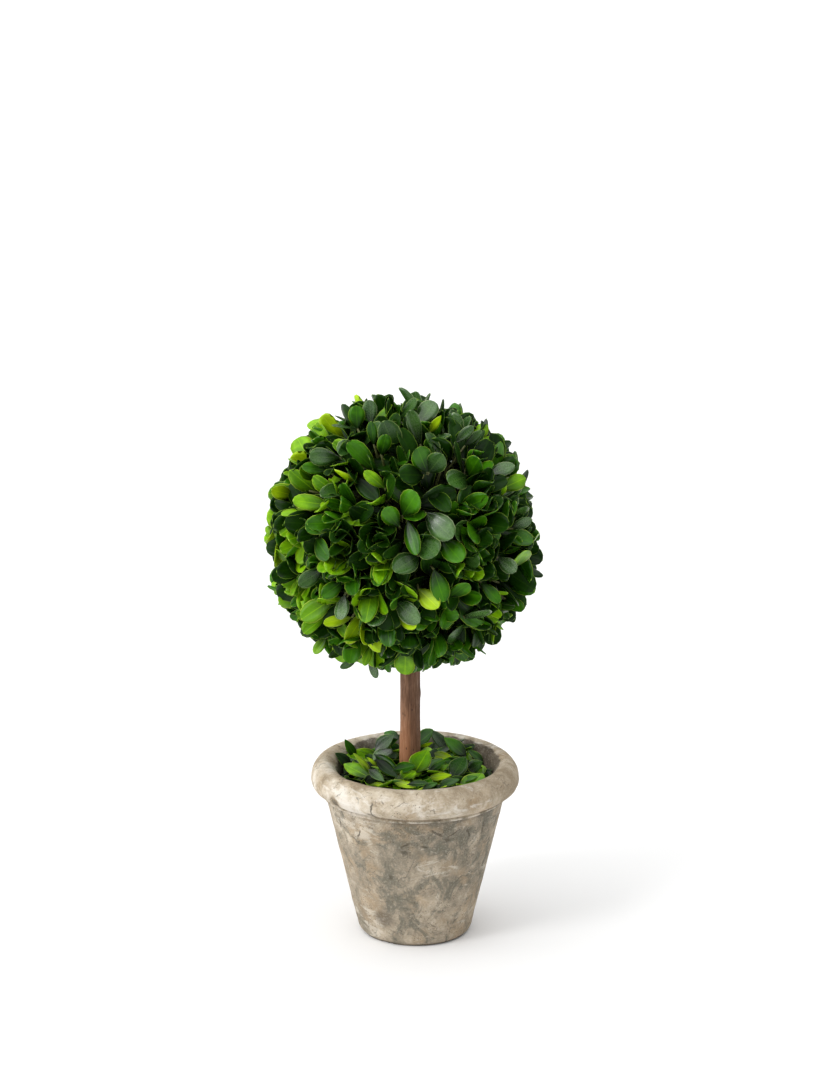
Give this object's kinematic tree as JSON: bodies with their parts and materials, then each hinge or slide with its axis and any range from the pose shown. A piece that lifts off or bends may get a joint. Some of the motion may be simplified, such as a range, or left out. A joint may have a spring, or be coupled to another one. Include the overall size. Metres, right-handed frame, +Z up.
{
  "type": "box topiary ball in a pot",
  "caption": "Small box topiary: a clipped ball of leafy sprigs on a plain wooden stem, standing in a cast stone pot topped with loose leaves.",
  "frame": {"origin": "middle of the pot's flat underside", "axes": "+Z up along the stem; the front of the plant looks towards -Y, and +X is to the right as seen from the front"},
  "size_m": [0.1652, 0.1635, 0.3332],
  "materials": {
    "stone": "matte",
    "filling": "matte",
    "loose_leaf": "satin",
    "wood": "matte",
    "leaf": "satin"
  },
  "bodies": {
    "root": {"pot": "stone", "filling": "filling", "loose_leaves": "loose_leaf", "stem": "wood", "crown": "leaf"}
  },
  "joints": []
}
